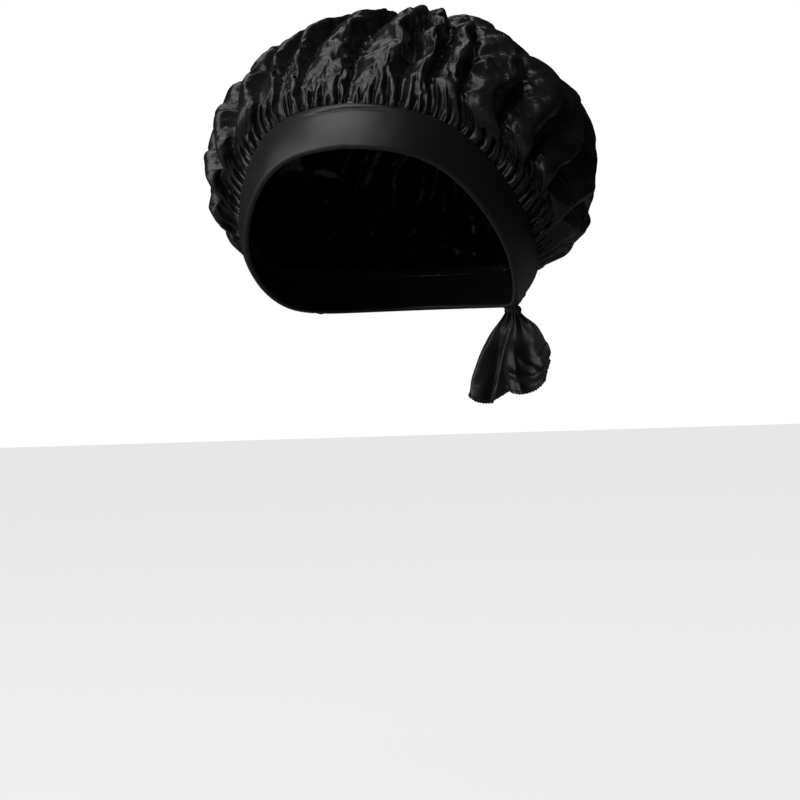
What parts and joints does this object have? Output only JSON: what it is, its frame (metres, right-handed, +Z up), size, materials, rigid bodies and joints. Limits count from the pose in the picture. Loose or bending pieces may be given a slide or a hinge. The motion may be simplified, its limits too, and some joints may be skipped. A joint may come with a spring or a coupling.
{
  "type": "perm cap",
  "caption": "Puffed cap of thin coated cloth, gathered on to a smooth padded front band, with an elastic nape and tie straps knotted behind one ear.",
  "frame": {"origin": "centre of the head opening, on the upright axis of the head, 13 mm below the head's widest level", "axes": "+Z up through the crown, -Y towards the brow, +X towards the wearer's left ear"},
  "size_m": [0.208, 0.2223, 0.2197],
  "materials": {
    "crown_film": "gloss",
    "band_film": "satin",
    "thread": "matte",
    "interlining": "matte",
    "elastic": "matte"
  },
  "bodies": {
    "cap": {"crown": "crown_film", "crown_seam_overlock": "thread", "front_band": "band_film", "band_interlining": "interlining", "nape_casing": "band_film", "nape_elastic": "elastic", "left_tie_strap": "band_film", "right_tie_strap": "band_film", "left_side_seam_stitches": "thread", "right_side_seam_stitches": "thread", "knot_core": "band_film", "knot_wrap": "band_film"},
    "outer_tail": {"outer_tail": "band_film", "outer_tail_overlock": "thread"},
    "inner_tail": {"inner_tail": "band_film", "inner_tail_overlock": "thread"}
  },
  "joints": [
    {"name": "outer_tail_swing", "type": "hinge", "parent": "cap", "child": "outer_tail", "pos_m": [0.0491, 0.06765, -0.03827], "axis": [0.9636, -0.2673, 0], "range_deg": [-10, 75]},
    {"name": "inner_tail_swing", "type": "hinge", "parent": "cap", "child": "inner_tail", "pos_m": [0.04236, 0.06952, -0.03827], "axis": [0.9636, -0.2673, 0], "range_deg": [-10, 75]}
  ]
}
